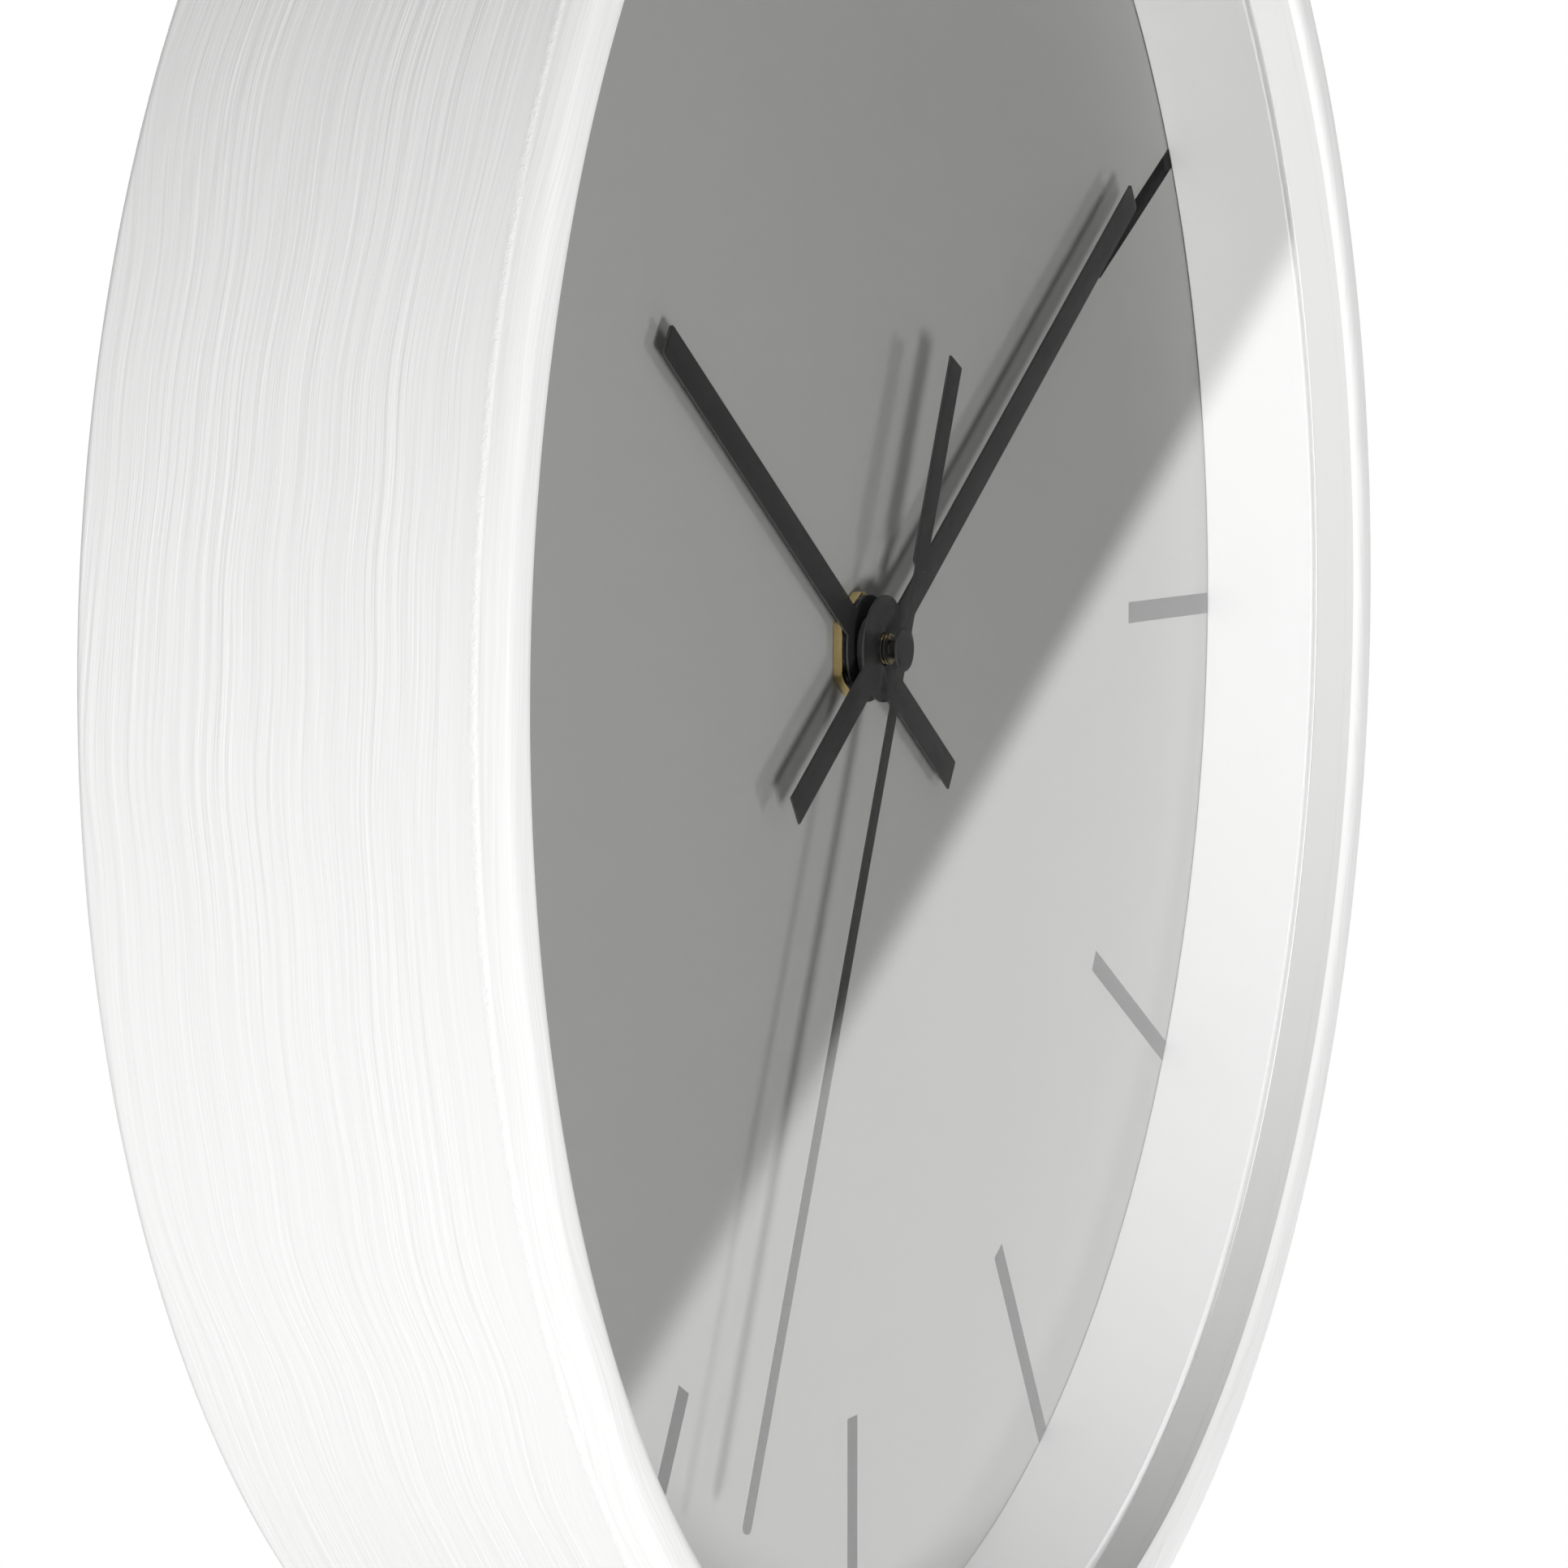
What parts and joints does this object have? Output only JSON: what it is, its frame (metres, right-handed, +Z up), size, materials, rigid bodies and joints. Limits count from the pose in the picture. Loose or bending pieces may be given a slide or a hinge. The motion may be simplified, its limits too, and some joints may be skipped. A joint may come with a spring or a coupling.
{
  "type": "wall clock",
  "caption": "Round wall clock with a white painted wood ring frame, clear lens, grey dial with dark bars, straight dark hands and a battery quartz movement.",
  "frame": {"origin": "centre of the clock's box, on the axis that the hands turn about, half way through the frame's depth", "axes": "+X to the right of a person facing the clock, +Y into the wall along the hands' axis, +Z up towards twelve"},
  "size_m": [0.254, 0.0438, 0.254],
  "materials": {
    "white_painted_wood": "white satin paint over fine turned grain",
    "white_plastic": "satin",
    "clear_acrylic": "clear and polished",
    "printed_card": "matt grey print with dark bars",
    "hardboard": "raw pressed fibre",
    "black_painted_metal": "matt black paint",
    "black_gloss_plastic": "gloss",
    "brass": "turned",
    "steel": "zinc plated",
    "black_plastic": "fine moulded texture",
    "gear_plastic": "natural acetal",
    "black_rubber": "matt",
    "copper_wire": "enamelled wire",
    "circuit_green": "solder mask",
    "rotor_magnet": "sintered",
    "battery_jacket": "gloss sleeve"
  },
  "bodies": {
    "clock_body": {"frame_ring": "white_painted_wood", "plexiglass": "clear_acrylic", "spacer_ring": "white_plastic", "dial_sheet": "printed_card", "backing_board": "hardboard", "retaining_clip_1": "steel", "retaining_clip_2": "steel", "retaining_clip_3": "steel", "retaining_clip_4": "steel", "hanger_plate": "steel", "rubber_gasket": "black_rubber", "shaft_nut": "brass", "shaft_bushing": "brass", "movement_cover": "black_plastic", "movement_case": "black_plastic", "train_bridge": "gear_plastic", "stator": "steel", "coil_core": "steel", "coil_bobbin": "white_plastic", "coil_winding": "copper_wire", "circuit_board": "circuit_green", "clock_chip": "black_gloss_plastic", "quartz_crystal": "steel", "battery_contact_positive": "steel", "battery_contact_negative": "steel"},
    "minute_hand_set": {"minute_hand": "black_painted_metal", "minute_shaft": "brass"},
    "hour_hand_set": {"hour_hand": "black_painted_metal", "hour_collar": "black_gloss_plastic", "hour_wheel": "gear_plastic"},
    "motion_wheel_set": {"motion_wheel": "gear_plastic"},
    "setting_knob_set": {"setting_shaft": "black_plastic", "setting_knob": "black_plastic"},
    "seconds_hand_set": {"seconds_hand": "black_painted_metal", "seconds_wheel": "gear_plastic"},
    "third_wheel_set": {"third_wheel": "gear_plastic"},
    "centre_wheel_set": {"centre_wheel": "gear_plastic"},
    "intermediate_wheel_set": {"intermediate_wheel": "gear_plastic"},
    "rotor_set": {"rotor_pinion": "gear_plastic", "rotor_magnet": "rotor_magnet"},
    "battery_set": {"battery": "battery_jacket"}
  },
  "joints": [
    {"name": "minute_spin", "type": "hinge", "parent": "clock_body", "child": "minute_hand_set", "pos_m": [0, 0, 0], "axis": [0, 1, 0], "continuous": true},
    {"name": "hour_spin", "type": "hinge", "parent": "clock_body", "child": "hour_hand_set", "pos_m": [0, 0, 0], "axis": [0, 1, 0], "continuous": true},
    {"name": "motion_wheel_spin", "type": "hinge", "parent": "clock_body", "child": "motion_wheel_set", "pos_m": [-0.00866, 0, 0.005], "axis": [0, 1, 0], "continuous": true},
    {"name": "setting_knob_spin", "type": "hinge", "parent": "clock_body", "child": "setting_knob_set", "pos_m": [-0.01048, 0, 0.01534], "axis": [0, 1, 0], "continuous": true},
    {"name": "seconds_spin", "type": "hinge", "parent": "clock_body", "child": "seconds_hand_set", "pos_m": [0, 0, 0], "axis": [0, 1, 0], "continuous": true},
    {"name": "third_wheel_spin", "type": "hinge", "parent": "clock_body", "child": "third_wheel_set", "pos_m": [0.0051, 0, 0.00883], "axis": [0, 1, 0], "continuous": true},
    {"name": "centre_wheel_spin", "type": "hinge", "parent": "clock_body", "child": "centre_wheel_set", "pos_m": [0, 0, 0], "axis": [0, 1, 0], "continuous": true},
    {"name": "intermediate_wheel_spin", "type": "hinge", "parent": "clock_body", "child": "intermediate_wheel_set", "pos_m": [0.00822, 0, -0.00299], "axis": [0, 1, 0], "continuous": true},
    {"name": "rotor_spin", "type": "hinge", "parent": "clock_body", "child": "rotor_set", "pos_m": [0.01531, 0, -0.00174], "axis": [0, 1, 0], "continuous": true},
    {"name": "battery_lift", "type": "slide", "parent": "clock_body", "child": "battery_set", "axis": [0, 1, 0], "range_m": [0, 0.02]}
  ],
  "couplings": [
    {"joint": "hour_spin", "follows": "minute_spin", "ratio": 0.083333},
    {"joint": "motion_wheel_spin", "follows": "minute_spin", "ratio": -0.33333},
    {"joint": "setting_knob_spin", "follows": "minute_spin", "ratio": 0.83333},
    {"joint": "third_wheel_spin", "follows": "seconds_spin", "ratio": -0.125},
    {"joint": "centre_wheel_spin", "follows": "seconds_spin", "ratio": 0.016667},
    {"joint": "intermediate_wheel_spin", "follows": "seconds_spin", "ratio": -6},
    {"joint": "rotor_spin", "follows": "seconds_spin", "ratio": 30}
  ]
}
